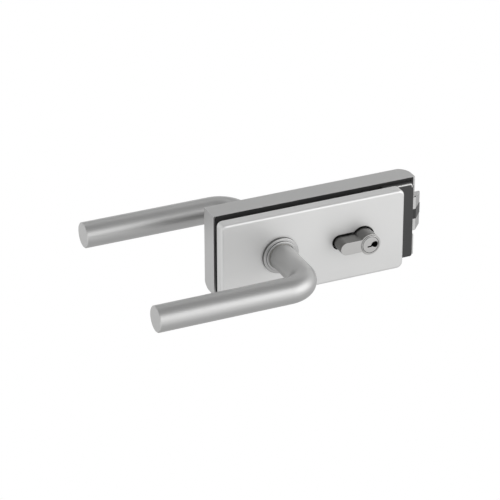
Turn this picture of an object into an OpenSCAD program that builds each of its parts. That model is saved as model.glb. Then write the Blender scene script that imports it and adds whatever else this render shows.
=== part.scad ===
// Lever lockset for a toughened glass door: a shallow cover in front of the glass, a deeper
// casing with the lock case behind it, two bent levers on one spindle, and a profile
// cylinder lying on its side. Millimetres, +Z up, latch towards +X, front side towards -Y.
// The origin is on the lever axis, halfway through the glass.

/* [Glass] */
// Thickness of the door glass that the two halves clamp
glass_t = 8; // [8:0.5:10]

/* [Front cover] */
// Height of the front cover
cover_h = 66.8; // [66:0.2:72]
// From the lever axis to the cover's left end
cover_left = 47.8; // [47:0.2:54]
// From the lever axis to the cover's right end
cover_right = 104.3; // [103:0.1:108]
// Depth of the front cover, face to glass
cover_t = 8.8; // [8.6:0.1:12]
// Wall of the front cover
cover_wall = 1.6; // [1.2:0.1:2]
// Rounding of the cover's left corners, seen from the front
cover_r_left = 4; // [3:0.5:6]
// Rounding of the cover's right corners, seen from the front
cover_r_right = 5; // [4:0.5:12]
// Rounding of the cover's front edges
cover_edge_r = 2; // [1:0.25:2.5]

/* [Rear casing] */
// Height of the rear casing
casing_h = 66.8; // [66.8:0.2:72]
// From the lever axis to the casing's left end
casing_left = 46.8; // [46.4:0.2:52]
// From the lever axis to the casing's right end
casing_right = 122; // [121.6:0.2:127]
// Depth of the casing behind the rear seal
casing_t = 18.4; // [18.4:0.2:22]
// Wall of the casing
casing_wall = 1.5; // [1.2:0.1:1.6]
// Rounding of the casing's rear right edge
casing_r = 11; // [6:0.5:11]
// Rounding of the casing's lower rear edge
casing_low_r = 8.5; // [5:0.5:9]
// Rounding of the casing's upper rear and rear left edges
casing_small_r = 1.2; // [0.4:0.2:1.6]

/* [Seals and plates] */
// Thickness of each glass seal
seal_t = 0.8; // [0.5:0.1:1.2]
// Thickness of the counter plate under the front cover
counter_t = 3; // [2.5:0.1:3.2]
// Thickness of the nose plate in the glass notch
nose_t = 2.6; // [2:0.1:3]
// How far the nose plate stays behind the front face of the glass
nose_recess = 1.7; // [1:0.1:2]
// From the lever axis to the left end of the nose
nose_left = 92.4; // [91:0.2:96]
// From the lever axis to the right end of the nose plate
nose_right = 117.2; // [115:0.2:118]

/* [Lock case] */
// Wall and base of the lock case
case_wall = 2; // [1.6:0.1:2]
// Thickness of the lid
lid_t = 1.6; // [1.4:0.1:1.8]
// Thickness of the forend plate behind the casing's end
forend_t = 2; // [1.6:0.1:2.2]

/* [Levers] */
// Diameter of the lever bar
lever_d = 20.2; // [19:0.1:22]
// From the lever axis to the end of the bar
lever_l = 123.8; // [100:0.2:140]
// From the cover or casing to the axis of the bar
lever_reach = 54.8; // [50:0.1:65]
// Bend radius of the bar's centre line
lever_bend_r = 18; // [14:0.5:22]
// How far the levers turn down
lever_turn = 36; // [20:1:36]
// Side of the square spindle
spindle_w = 8; // [7:0.5:8]

/* [Roses] */
// Outer radius of the rose
rose_r = 14.6; // [14:0.1:18]
// Radius of the raised step round the neck
rose_step_r = 12.4; // [12.2:0.1:13]
// Height of the rose's flange
rose_t = 2.2; // [1.5:0.1:3]
// Height of the rose's step above the flange
rose_step_t = 1.2; // [0.8:0.1:2]

/* [Cylinder] */
// From the lever axis to the cylinder's plug axis
cylinder_x = 69.2; // [69:0.1:71]
// Length of the cylinder's front half, from the middle of the cam
cylinder_front = 39; // [38:0.5:50]
// Length of the cylinder's rear half, from the middle of the cam
cylinder_rear = 30; // [30:5:50]
// Diameter of the cylinder's round part
cylinder_d = 17; // [17:0.1:17.2]
// Height of the cylinder's profile, round part and web together
cylinder_h = 33; // [32.8:0.1:33.2]
// Thickness of the cylinder's web
web_t = 10; // [10:0.1:10.2]
// Diameter of the plug
plug_d = 13; // [12.6:0.1:13]
// Number of pins in each half
pin_count = 5; // [3:1:5]

/* [Bolts] */
// How far the latch stands out at rest
latch_out = 10.4; // [9:0.1:10.5]
// Height of the part of the latch that stands out
latch_h = 27.8; // [20:0.2:28.6]
// From the lever axis down to the latch's lower face
latch_low = 14.2; // [10:0.1:14.6]
// How far the lever draws the latch back
latch_travel = 10.5; // [9:0.1:10.5]
// Throw of the deadbolt
bolt_throw = 12; // [8:0.5:12]

/* [Hidden] */
$fn = 64;

// Clearances
fit = 0.05;
slip = 0.3;
gap = 0.5;
over = 1;

// Planes across the door, front to rear
glass_f = -glass_t / 2;
glass_r = glass_t / 2;
cover_face = glass_f - cover_t;
counter_r = glass_f - seal_t;
counter_f = counter_r - counter_t;
casing_rim = glass_r + seal_t;
base_r = casing_rim + case_wall;
casing_back = casing_rim + casing_t;
casing_in = casing_back - casing_wall;
lid_r = casing_in - slip;
lid_f = lid_r - lid_t;
mid_y = (base_r + lid_f) / 2;

// Outlines, seen from the front
case_z = casing_h / 2 - casing_wall - slip;
case_x0 = -casing_left + casing_wall + slip;
forend_x1 = casing_right - casing_wall - 0.1;
forend_x0 = forend_x1 - forend_t;
case_x1 = forend_x0 - 0.1;
room_z = case_z - case_wall;
room_x0 = case_x0 + case_wall;
room_x1 = case_x1 - case_wall;
counter_x0 = -cover_left + cover_wall + slip;
counter_x1 = cover_right - cover_wall - slip;
counter_z = cover_h / 2 - cover_wall - slip;
seal_inset = 0.2;
nose_r = 2.5;
nose_edge_r = 1.5;
nose_f = glass_f + nose_recess;
nose_block_inset = 0.6;

// Clamp screws through the glass: across, up
half_h = min(casing_h, cover_h) / 2;
clamp_z = half_h - 11.4;
clamp_low_z = -half_h + 9.4;
clamp_high_z = half_h - 8;
clamp_at = [[-35, clamp_z], [-35, -clamp_z], [36, clamp_low_z], [78, clamp_high_z]];
clamp_r = 2.5;
clamp_head_r = 4.6;
clamp_boss_r = 4;
sleeve_r = 5.5;

// Lid screws: across, up
lid_low_z = -room_z + 8.4;
lid_high_z = room_z - 2.4;
lid_at = [[-39.5, 0], [-12, lid_low_z], [98, lid_high_z], [58, lid_high_z]];
lid_screw_r = 1.5;
lid_head_r = 2.6;
lid_boss_r = 3;

// Set screws in the bottom walls
set_screw_r = 1.5;
set_screw_l = 3.6;
cover_screw_x = [10, 80];
casing_screw_x = [-20, 40];
screw_boss_w = 8;
screw_boss_h = 6;
screw_boss_y = -3;
cover_screw_y = counter_f;

// Lever, neck and spindle
lever_r = lever_d / 2;
spigot_r = 8;
bush_r = 10.2;
hub_seat_r = 9.5;
hub_r = 10.5;
ring_t = 0.7;
ring_r0 = 7.25;
ring_r1 = 9.2;
neck_gap = 0.3;
rose_top = rose_t + rose_step_t;
front_neck = cover_face - rose_top - neck_gap;
rear_neck = casing_back + rose_top + neck_gap;
neck_reach = lever_reach - rose_top - neck_gap;
front_spigot = counter_f + 1.6;
rear_spigot = lid_r - 0.6;
spindle_in = 19;
lever_screw_r = 2.5;
lever_screw_in = 7.5;

// Follower arms
arm_r = 18;
arm_tip_r = 3;
arm_t = 4;
low_arm_r = 13;
low_arm_w = 3;

// Deadbolt head
bolt_z0 = -casing_h / 2 + 5;
bolt_latch_gap = 5;
bolt_z1 = -latch_low - bolt_latch_gap;
bolt_t = 8.4;
bolt_y0 = mid_y - 4.9;

// Latch
latch_z0 = -latch_low;
latch_top = latch_z0 + latch_h;
latch_z1 = room_z - 10.2;
latch_y0 = base_r + 0.4;
latch_t = 10;
latch_in = 18.8;
latch_x0 = casing_right - latch_in;
latch_flat = 2.6;
latch_tip_t = 1.2;
latch_room_low = 2.3;
latch_room_high = 1.1;
latch_insert_z0 = -4.4;
latch_insert_z1 = 4;
latch_insert_proud = 0.3;
latch_step_x = latch_x0 + 12;
latch_insert_x0 = latch_step_x - 2;
tail_t = 2.5;
tail_z0 = room_z - 14;
tail_z1 = room_z - 9;
tail_x0 = -12.5;
lug_gap = 0.6;
lug_t = 4;
latch_tip = casing_right + latch_out;
spring_r = 2.75;
spring_z = room_z - 4.2;
spring_post_x = 7;
spring_lug_x = 40;
post_t = 2.5;

// Follower return spring
return_r = 3.5;
return_z = -14;
return_post_x = 31;

// Cylinder
plug_r = plug_d / 2;
profile_r = cylinder_d / 2;
web_end = cylinder_h - profile_r;
cyl_y0 = mid_y - cylinder_front;
cyl_y1 = mid_y + cylinder_rear;
cam_gap = 5.6;
cam_t = 8.8;
cam_r = 7.6;
cam_nose_r = 15;
cam_nose_w = 7;
plug_lip_r = 7.4;
plug_proud = 0.8;
plug_lip_t = 1.9;
clip_t = 0.7;
pin_r = 1.42;
pin_bore_r = 1.5;
pin_pitch = 4;
pin_first = 5;
key_pin_l = 4.1;
driver_l = 4.6;
pin_spring_l = 9.6;
cylinder_screw_in = 20;
cylinder_screw_x = cylinder_x - cylinder_screw_in;
cylinder_screw_r = 2.5;
hole_gap = 1.2;
cylinder_head_r = 3.6;
cylinder_head_t = 1.9;
keyway_w = 2.2;
keyway_mouth_r = 2.1;
front_plug_in = mid_y - cam_t / 2 - 0.1;
rear_plug_in = mid_y + cam_t / 2 + 0.1;

// Deadbolt, whose tail has a horn on each side of the cam
bolt_x1 = casing_right - 0.9;
bolt_l = 31;
bolt_x0 = bolt_x1 - bolt_l;
bolt_lap = 6;
bolt_tail_t = 2.6;
bolt_tail_y1 = lid_f - 0.6;
bolt_tail_z0 = bolt_z0 + 3.4;
bolt_tail_x0 = cylinder_x - cylinder_screw_in;
bolt_tail_z1 = -cam_nose_r - 1;
horn_z1 = -11.2;
notch_in = 12.3;
notch_out = 6.2;
notch_x0 = cylinder_x - notch_in;
notch_x1 = cylinder_x + notch_out;
horn_x1 = latch_x0 - latch_travel - bolt_throw - slip;

// Screws that hold the forend plate on the lock case
forend_screw_r = 1;
forend_head_r = 1.9;
forend_head_t = 1.2;
forend_screw_y = base_r + 2.4;
forend_screw_z = [bolt_z1 + bolt_latch_gap / 2, room_z - 3.6];

// Pin and rivets of the latch head
latch_pin_r = 0.75;
latch_pin_x = casing_right + 3.2;
latch_pin_y = latch_y0 + 2.4;
latch_pin_sunk = 0.3;
rivet_r = 1.1;
rivet_x = [latch_x0 + 3, latch_x0 + 8];
rivet_z = tail_z0 + 1.9;

// Retaining rings of the levers
front_ring_y = counter_f + 0.3;
rear_ring_y = lid_r + 0.1;

// Metal finishes
satin = [0.74, 0.74, 0.73];
satin_light = [0.82, 0.82, 0.81];
steel = [0.62, 0.62, 0.62];
black = [0.10, 0.10, 0.10];
brass = [0.78, 0.70, 0.52];
nylon = [0.88, 0.87, 0.82];

// A flat outline drawn across and up, given depth from y0 to y1
module along_y(y0, y1) {
    translate([0, y1, 0])
        rotate([90, 0, 0])
            linear_extrude(y1 - y0) children();
}

// A round bar along Y at (x, z)
module rod_y(r, y0, y1, x = 0, z = 0) {
    translate([x, y1, z])
        rotate([90, 0, 0])
            cylinder(r = r, h = y1 - y0);
}

// A round bar along X at (y, z)
module rod_x(r, x0, x1, y = 0, z = 0) {
    translate([x0, y, z])
        rotate([0, 90, 0])
            cylinder(r = r, h = x1 - x0);
}

// A box given by its two corners
module block(a, b) {
    translate(a)
        cube(b - a);
}

// A rectangle with its own corner radius at each end, across x0 to x1 and up z0 to z1
module plate_2d(x0, x1, z0, z1, rl, rr) {
    translate([x0 + rl, z0])
        square([x1 - x0 - rl - rr, z1 - z0]);
    translate([x0, z0 + rl])
        square([rl, z1 - z0 - 2 * rl]);
    translate([x1 - rr, z0 + rr])
        square([rr, z1 - z0 - 2 * rr]);
    for (z = [z0 + rl, z1 - rl])
        translate([x0 + rl, z])
            circle(rl);
    for (z = [z0 + rr, z1 - rr])
        translate([x1 - rr, z])
            circle(rr);
}

// Half section of a disc of radius big whose front edge is rounded by small
module puck_2d(big, small, deep) {
    square([big - small, deep]);
    translate([0, small])
        square([big, deep - small]);
    translate([big - small, small])
        circle(small);
}

// A slab with rounded front edges, its face at y0 and its back at y1
module cap_slab(x0, x1, z0, z1, rl, rr, y0, y1, edge) {
    deep = y1 - y0;
    for (c = [[x0 + rl, rl], [x1 - rr, rr]])
        for (z = [z0 + c[1], z1 - c[1]])
            translate([c[0], y0, z])
                rotate([-90, 0, 0])
                    rotate_extrude() puck_2d(c[1], edge, deep);
    block([x0 + rl, y0, z0 + edge], [x1 - rr, y1, z1 - edge]);
    block([x0 + rl, y0 + edge, z0], [x1 - rr, y1, z1]);
    for (z = [z0 + edge, z1 - edge])
        rod_x(edge, x0 + rl, x1 - rr, y0 + edge, z);
    block([x0 + edge, y0, z0 + rl], [x0 + rl, y1, z1 - rl]);
    block([x0, y0 + edge, z0 + rl], [x0 + rl, y1, z1 - rl]);
    translate([x0 + edge, y0 + edge, z0 + rl])
        cylinder(r = edge, h = z1 - z0 - 2 * rl);
    block([x1 - rr, y0, z0 + rr], [x1 - edge, y1, z1 - rr]);
    block([x1 - rr, y0 + edge, z0 + rr], [x1, y1, z1 - rr]);
    translate([x1 - edge, y0 + edge, z0 + rr])
        cylinder(r = edge, h = z1 - z0 - 2 * rr);
}

// Outline of the casing seen from above, its faces moved inwards by inset
module casing_plan_2d(inset) {
    x0 = -casing_left + inset;
    x1 = casing_right - inset;
    y1 = casing_back - inset;
    rl = max(casing_small_r - inset, 0.2);
    rr = casing_r - inset;
    translate([x0 + rl, casing_rim])
        square([x1 - rr - x0 - rl, y1 - casing_rim]);
    translate([x0, casing_rim])
        square([rl, y1 - rl - casing_rim]);
    translate([x0 + rl, y1 - rl])
        circle(rl);
    translate([x1 - rr, casing_rim])
        square([rr, y1 - rr - casing_rim]);
    translate([x1 - rr, y1 - rr])
        intersection() {
            circle(rr);
            square(rr);
        }
}

// Outline of the casing seen from its end: depth across, height up
module casing_end_2d(inset) {
    z1 = casing_h / 2 - inset;
    y1 = casing_back - inset;
    rt = max(casing_small_r - inset, 0.2);
    rb = casing_low_r - inset;
    translate([casing_rim - over, -z1 + rb])
        square([y1 - casing_rim + over, 2 * z1 - rb - rt]);
    translate([casing_rim - over, -z1])
        square([y1 - rb - casing_rim + over, rb]);
    translate([y1 - rb, -z1 + rb])
        circle(rb);
    translate([casing_rim - over, z1 - rt])
        square([y1 - rt - casing_rim + over, rt]);
    translate([y1 - rt, z1 - rt])
        circle(rt);
}

// Solid filling the casing's outside, its faces moved inwards by inset
module casing_solid(inset) {
    intersection() {
        translate([0, 0, -casing_h / 2 + inset])
            linear_extrude(casing_h - 2 * inset) casing_plan_2d(inset);
        translate([-casing_left, 0, 0])
            rotate([90, 0, 90])
                linear_extrude(casing_left + casing_right) casing_end_2d(inset);
    }
}

// Outline of the profile cylinder, round part on the plug axis and web towards the lever
module profile_2d(grow = 0) {
    half = web_t / 2 + grow;
    translate([cylinder_x, 0])
        circle(profile_r + grow);
    translate([cylinder_x - web_end + web_t / 2, -half])
        square([web_end - web_t / 2, 2 * half]);
    translate([cylinder_x - web_end + web_t / 2, 0])
        circle(half);
}

// Openings that the spindle, cylinder and clamp screws need in a plate from y0 to y1
module through_holes(y0, y1, spindle_hole_r, profile_grow, screw_hole_r) {
    rod_y(spindle_hole_r, y0, y1);
    along_y(y0, y1)
        profile_2d(profile_grow);
    for (p = clamp_at)
        rod_y(screw_hole_r, y0, y1, p[0], p[1]);
}

module front_cover() {
    color(satin_light)
        difference() {
            cap_slab(-cover_left, cover_right, -cover_h / 2, cover_h / 2, cover_r_left,
                cover_r_right, cover_face, glass_f, cover_edge_r);
            along_y(cover_face + cover_wall, glass_f + over)
                plate_2d(-cover_left + cover_wall, cover_right - cover_wall,
                    -cover_h / 2 + cover_wall, cover_h / 2 - cover_wall,
                    cover_r_left - cover_wall, cover_r_right - cover_wall);
            rod_y(rose_step_r + 0.2, cover_face - over, cover_face + cover_wall + over);
            along_y(cover_face - over, cover_face + cover_wall + over)
                profile_2d(hole_gap);
            for (x = cover_screw_x)
                translate([x, cover_screw_y, -cover_h / 2 - over])
                    cylinder(r = set_screw_r + fit, h = cover_wall + 2 * over);
        }
}

module counter_plate() {
    color(steel)
        difference() {
            union() {
                along_y(counter_f, counter_r)
                    plate_2d(counter_x0, counter_x1, -counter_z, counter_z,
                        cover_r_left - cover_wall, cover_r_right - cover_wall);
                for (x = cover_screw_x)
                    block([x - screw_boss_w / 2, counter_f + screw_boss_y, -counter_z],
                        [x + screw_boss_w / 2, counter_f + 0.5, -counter_z + screw_boss_h]);
            }
            through_holes(counter_f - over, counter_r + over, rose_step_r - 1.9, gap,
                clamp_r + 0.2);
            for (p = clamp_at)
                clamp_head(p, 0.1);
            for (x = cover_screw_x)
                translate([x, cover_screw_y, -counter_z - over])
                    cylinder(r = set_screw_r + fit, h = set_screw_l);
        }
}

module front_seal() {
    color(black)
        difference() {
            along_y(counter_r, glass_f)
                plate_2d(counter_x0, nose_left - gap, -counter_z, counter_z,
                    cover_r_left - cover_wall, 1);
            through_holes(counter_r - over, glass_f + over, rose_step_r, gap, sleeve_r + 0.1);
        }
}

module rear_seal() {
    z1 = casing_h / 2 - seal_inset;
    color(black)
        difference() {
            block([-casing_left + seal_inset, glass_r, -z1],
                [casing_right - seal_inset, casing_rim, z1]);
            through_holes(glass_r - over, casing_rim + over, hub_seat_r + gap, gap,
                sleeve_r + 0.1);
            block([nose_left - 0.1, glass_r - over, -case_z - 0.1],
                [case_x1 + 0.1, casing_rim + over, case_z + 0.1]);
            block([case_x1, glass_r - over, latch_z0 - latch_room_low],
                [casing_right + over, casing_rim + over, latch_z1 + latch_room_high]);
        }
}

module rear_casing() {
    z1 = casing_h / 2;
    color(satin)
        difference() {
            casing_solid(0);
            casing_solid(casing_wall);
            block([-casing_left + casing_wall, casing_rim - over, -z1 + casing_wall],
                [casing_right - casing_wall, casing_rim + over, z1 - casing_wall]);
            rod_y(rose_step_r + 0.2, casing_in - over, casing_back + over);
            along_y(casing_in - over, casing_back + over)
                profile_2d(hole_gap);
            block([casing_right - casing_r, casing_rim - over, latch_z0 - latch_room_low],
                [casing_right + over, latch_y0 + latch_t + gap, latch_z1 + latch_room_high]);
            block([casing_right - casing_r, bolt_y0 - gap, bolt_z0 - gap],
                [casing_right + over, bolt_y0 + bolt_t + gap, bolt_z1 + gap]);
            for (x = casing_screw_x)
                translate([x, mid_y, -z1 - over])
                    cylinder(r = set_screw_r + fit, h = casing_wall + 2 * over);
        }
}

module lock_case() {
    color(black)
        difference() {
            union() {
                difference() {
                    intersection() {
                        block([case_x0, casing_rim, -case_z], [case_x1, lid_f, case_z]);
                        casing_solid(casing_wall + slip);
                    }
                    intersection() {
                        block([room_x0, base_r, -room_z], [room_x1, lid_f + over, room_z]);
                        translate([0, case_wall, 0])
                            casing_solid(casing_wall + slip + case_wall);
                    }
                }
                block([nose_left, nose_f + nose_t, -case_z + nose_block_inset],
                    [case_x1 - 0.4, casing_rim + 0.5, case_z - nose_block_inset]);
                for (p = clamp_at)
                    rod_y(clamp_boss_r, casing_rim + 0.5, lid_f - 0.1, p[0], p[1]);
                for (p = lid_at)
                    rod_y(lid_boss_r, casing_rim + 0.5, lid_f, p[0], p[1]);
                block([spring_post_x, casing_rim + 0.5, tail_z1 + 2],
                    [spring_post_x + post_t, mid_y + spring_r, room_z + 0.5]);
                block([return_post_x, casing_rim + 0.5, return_z - return_r],
                    [return_post_x + post_t, mid_y + return_r, return_z + return_r]);
            }
            rod_y(hub_seat_r + fit, casing_rim - over, base_r + over);
            along_y(casing_rim - over, base_r + over)
                profile_2d(gap);
            for (p = clamp_at)
                rod_y(clamp_r + fit, casing_rim - over, lid_f + over, p[0], p[1]);
            for (p = lid_at)
                rod_y(lid_screw_r + fit, base_r + 3, lid_f + over, p[0], p[1]);
            block([room_x1 - over, base_r, latch_z0 - slip],
                [case_x1 + over, latch_y0 + latch_t + slip, latch_z1 + slip]);
            block([room_x1 - over, bolt_y0 - slip, bolt_z0 - slip],
                [case_x1 + over, bolt_y0 + bolt_t + slip, bolt_z1 + slip]);
            for (z = forend_screw_z)
                rod_x(forend_screw_r + fit, case_x1 - case_wall - over, case_x1 + over,
                    forend_screw_y, z);
            for (x = casing_screw_x)
                translate([x, mid_y, -case_z - over])
                    cylinder(r = set_screw_r + fit, h = set_screw_l);
            translate([cylinder_screw_x, mid_y, -case_z - over])
                cylinder(r = cylinder_screw_r + 0.2, h = case_wall + 2 * over);
            translate([cylinder_screw_x, mid_y, -case_z - over])
                cylinder(r = cylinder_head_r + 0.1, h = cylinder_head_t + over);
        }
}

module forend_screws() {
    color(steel)
        for (z = forend_screw_z) {
            rod_x(forend_screw_r, case_x1 - case_wall, forend_x1 - 0.2, forend_screw_y, z);
            rod_x(forend_head_r, forend_x1 - forend_head_t, forend_x1 - 0.1, forend_screw_y, z);
        }
}

module case_lid() {
    color(steel)
        difference() {
            intersection() {
                block([case_x0, lid_f, -case_z], [case_x1, lid_r, case_z]);
                casing_solid(casing_wall + slip);
            }
            rod_y(hub_seat_r + fit, lid_f - over, lid_r + over);
            along_y(lid_f - over, lid_r + over)
                profile_2d(gap);
            for (p = lid_at) {
                rod_y(lid_screw_r + 0.1, lid_f - over, lid_r + over, p[0], p[1]);
                lid_head(p, 0.1);
            }
        }
}

// Countersunk head of a lid screw
module lid_head(p, grow) {
    translate([p[0], lid_r, p[1]])
        rotate([90, 0, 0])
            cylinder(r1 = lid_head_r + grow, r2 = lid_screw_r, h = lid_head_r - lid_screw_r + grow);
}

module lid_screws() {
    color(steel)
        for (p = lid_at) {
            rod_y(lid_screw_r, base_r + 4, lid_r - 0.2, p[0], p[1]);
            difference() {
                lid_head(p, 0);
                rod_y(0.9, lid_r - 0.7, lid_r + over, p[0], p[1]);
            }
        }
}

// End view of the nose plate: its long front edges are rounded
module nose_end_2d() {
    translate([nose_f, -case_z + nose_edge_r])
        square([nose_t, 2 * (case_z - nose_edge_r)]);
    translate([nose_f + nose_edge_r, -case_z])
        square([nose_t - nose_edge_r, 2 * case_z]);
    for (s = [-1, 1])
        translate([nose_f + nose_edge_r, s * (case_z - nose_edge_r)])
            circle(nose_edge_r);
}

module nose_plate() {
    color(steel)
        intersection() {
            along_y(nose_f, nose_f + nose_t)
                plate_2d(nose_left, nose_right, -case_z, case_z, nose_r, nose_r);
            translate([nose_left, 0, 0])
                rotate([90, 0, 90])
                    linear_extrude(nose_right - nose_left) nose_end_2d();
        }
}

module forend_plate() {
    color(steel)
        difference() {
            intersection() {
                block([forend_x0, casing_rim + 0.1, -case_z], [forend_x1, lid_r, case_z]);
                casing_solid(casing_wall + 0.1);
            }
            block([forend_x0 - over, latch_y0 - slip, latch_z0 - slip],
                [forend_x1 + over, latch_y0 + latch_t + slip, latch_z1 + slip]);
            block([forend_x0 - over, bolt_y0 - slip, bolt_z0 - slip],
                [forend_x1 + over, bolt_y0 + bolt_t + slip, bolt_z1 + slip]);
            for (z = forend_screw_z) {
                rod_x(forend_screw_r + fit, forend_x0 - over, forend_x1 + over,
                    forend_screw_y, z);
                rod_x(forend_head_r + 0.1, forend_x1 - forend_head_t - 0.1, forend_x1 + over,
                    forend_screw_y, z);
            }
        }
}

// Flange and step of a rose at the origin, its spigot reaching down by spigot_l
module rose(spigot_l) {
    difference() {
        union() {
            cylinder(r = rose_r, h = rose_t);
            translate([0, 0, rose_t])
                cylinder(r = rose_step_r, h = rose_step_t);
            translate([0, 0, -spigot_l])
                cylinder(r = rose_step_r, h = spigot_l);
        }
        translate([0, 0, -spigot_l - over])
            cylinder(r = bush_r + fit, h = spigot_l + rose_top + 2 * over);
    }
}

module front_rose() {
    color(satin_light)
        translate([0, cover_face, 0])
            rotate([90, 0, 0])
                rose(counter_f - cover_face - 0.1);
}

module rear_rose() {
    color(satin_light)
        translate([0, casing_back, 0])
            rotate([-90, 0, 0])
                rose(casing_back - lid_r - 0.1);
}

// Plain bearing bush along Y
module bush(y0, y1) {
    difference() {
        rod_y(bush_r, y0, y1);
        rod_y(spigot_r + fit, y0 - over, y1 + over);
    }
}

module front_bush() {
    color(nylon)
        bush(cover_face - rose_top + 0.2, counter_f - 0.1);
}

module rear_bush() {
    color(nylon)
        bush(rear_ring_y + ring_t + 0.15, casing_back + rose_top - 0.2);
}

// Countersunk head of a clamp screw
module clamp_head(p, grow) {
    translate([p[0], counter_f, p[1]])
        rotate([-90, 0, 0])
            cylinder(r1 = clamp_head_r + grow, r2 = clamp_r, h = clamp_head_r - clamp_r + grow);
}

module clamp_screws() {
    color(steel)
        for (p = clamp_at)
            difference() {
                union() {
                    clamp_head(p, 0);
                    rod_y(clamp_r, counter_f + 1, lid_f - 1, p[0], p[1]);
                }
                translate([p[0], counter_f + 1.6, p[1]])
                    rotate([90, 0, 0])
                        cylinder(r = 1.7, h = 3, $fn = 6);
            }
}

module glass_sleeves() {
    color(nylon)
        for (p = clamp_at)
            difference() {
                rod_y(sleeve_r, counter_r, casing_rim, p[0], p[1]);
                rod_y(clamp_r + 0.2, counter_r - over, casing_rim + over, p[0], p[1]);
            }
}

// A socket set screw along Z with its socket end down at z0
module set_screw(r, l, socket) {
    difference() {
        cylinder(r = r, h = l);
        translate([0, 0, -over])
            cylinder(r = socket, h = over + l * 0.4, $fn = 6);
    }
}

module cover_screws() {
    color(steel)
        for (x = cover_screw_x)
            translate([x, cover_screw_y, -counter_z - over - fit])
                set_screw(set_screw_r, set_screw_l, 0.85);
}

module casing_screws() {
    color(steel)
        for (x = casing_screw_x)
            translate([x, mid_y, -case_z - over - fit])
                set_screw(set_screw_r, set_screw_l, 0.85);
}

// L-shaped lever whose neck starts at the origin along +Z and whose bar runs to -X
module lever(reach, socket_l, spigot_l, groove_from) {
    straight = reach - lever_bend_r;
    chamfer = 0.6;
    difference() {
        union() {
            cylinder(r = lever_r, h = straight);
            translate([0, 0, -spigot_l])
                cylinder(r = spigot_r, h = spigot_l + over);
            translate([-lever_bend_r, 0, straight])
                rotate([90, 0, 0])
                    rotate_extrude(angle = 90)
                        translate([lever_bend_r, 0])
                            circle(lever_r);
            translate([-lever_l + chamfer, 0, reach])
                rotate([0, 90, 0])
                    cylinder(r = lever_r, h = lever_l - chamfer - lever_bend_r);
            translate([-lever_l, 0, reach])
                rotate([0, 90, 0])
                    cylinder(r1 = lever_r - chamfer, r2 = lever_r, h = chamfer);
        }
        translate([-spindle_w / 2 - 0.05, -spindle_w / 2 - 0.05, -spigot_l - over])
            cube([spindle_w + 0.1, spindle_w + 0.1, spigot_l + over + socket_l]);
        translate([0, 0, groove_from])
            difference() {
                cylinder(r = spigot_r + over, h = ring_t + 0.1);
                cylinder(r = ring_r0 - fit, h = ring_t + 0.1);
            }
        translate([0, 0, lever_screw_in])
            rotate([90, 0, 0])
                cylinder(r = lever_screw_r + fit, h = lever_r + over);
    }
}

module front_lever() {
    color(satin)
        translate([0, front_neck, 0])
            rotate([90, 0, 0])
                lever(neck_reach, spindle_in + gap, front_spigot - front_neck,
                    front_neck - front_ring_y - ring_t);
}

module rear_lever() {
    color(satin)
        mirror([0, 1, 0])
            translate([0, -rear_neck, 0])
                rotate([90, 0, 0])
                    lever(neck_reach, spindle_in + gap, rear_neck - rear_spigot,
                        rear_ring_y - rear_neck);
}

// Open ring in the plane across Y, its mouth upwards
module ring_plate(y0, r0, r1, t, mouth) {
    difference() {
        rod_y(r1, y0, y0 + t);
        rod_y(r0, y0 - over, y0 + t + over);
        block([-mouth / 2, y0 - over, 0], [mouth / 2, y0 + t + over, r1 + over]);
    }
}

module front_retaining_ring() {
    color(steel)
        ring_plate(front_ring_y, ring_r0, ring_r1, ring_t, 4);
}

module rear_retaining_ring() {
    color(steel)
        ring_plate(rear_ring_y, ring_r0, ring_r1, ring_t, 4);
}

module spindle() {
    half = spindle_w / 2;
    color(steel)
        block([-half, front_neck - spindle_in, -half], [half, rear_neck + spindle_in, half]);
}

module lever_screw() {
    difference() {
        cylinder(r = lever_screw_r, h = lever_r - spindle_w / 2 - 0.3);
        translate([0, 0, -over])
            cylinder(r = 1.45, h = 3 + over, $fn = 6);
    }
}

module front_lever_screw() {
    color(steel)
        translate([0, front_neck - lever_screw_in, -lever_r + 0.25])
            lever_screw();
}

module rear_lever_screw() {
    color(steel)
        translate([0, rear_neck + lever_screw_in, -lever_r + 0.25])
            lever_screw();
}

module follower() {
    half = spindle_w / 2 + 0.05;
    color(steel)
        difference() {
            union() {
                rod_y(hub_r, base_r + 0.1, lid_f - 0.1);
                rod_y(hub_seat_r, casing_rim + 0.2, lid_r - 0.85);
                along_y(mid_y - arm_t / 2, mid_y + arm_t / 2) {
                    translate([-arm_tip_r, 0])
                        square([2 * arm_tip_r, arm_r]);
                    translate([0, arm_r])
                        circle(arm_tip_r);
                }
                block([-low_arm_w, mid_y - arm_t / 2, -low_arm_r - low_arm_w],
                    [low_arm_w, mid_y + arm_t / 2, 0]);
            }
            block([-half, casing_rim - over, -half], [half, lid_r + over, half]);
        }
}

module spring_tube(r, x0, x1, z) {
    difference() {
        rod_x(r, x0, x1, mid_y, z);
        rod_x(r - 0.9, x0 - over, x1 + over, mid_y, z);
    }
}

module follower_spring() {
    color(steel)
        spring_tube(return_r, low_arm_w + 0.1, return_post_x - 0.1, return_z);
}

module latch_spring() {
    color(steel)
        spring_tube(spring_r, spring_post_x + post_t + 0.1, spring_lug_x - 0.1, spring_z);
}

// Side view of the latch head: its inner end is taller, where the tail bar joins it
module latch_side_2d() {
    polygon([[latch_x0, latch_z0], [latch_tip, latch_z0], [latch_tip, latch_top],
        [latch_step_x, latch_top], [latch_step_x, latch_z1], [latch_x0, latch_z1]]);
}

// Top view of the latch head with its closing bevel towards the front
module latch_top_2d(grow = 0) {
    polygon([[latch_x0, latch_y0], [casing_right + latch_flat + grow, latch_y0],
        [latch_tip + grow, latch_y0 + latch_t - latch_tip_t], [latch_tip + grow, latch_y0 + latch_t],
        [latch_x0, latch_y0 + latch_t]]);
}

// Upright pin that holds the insert in the latch head
module latch_pin_rod(r, z0, z1) {
    translate([latch_pin_x, latch_pin_y, z0])
        cylinder(r = r, h = z1 - z0);
}

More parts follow.
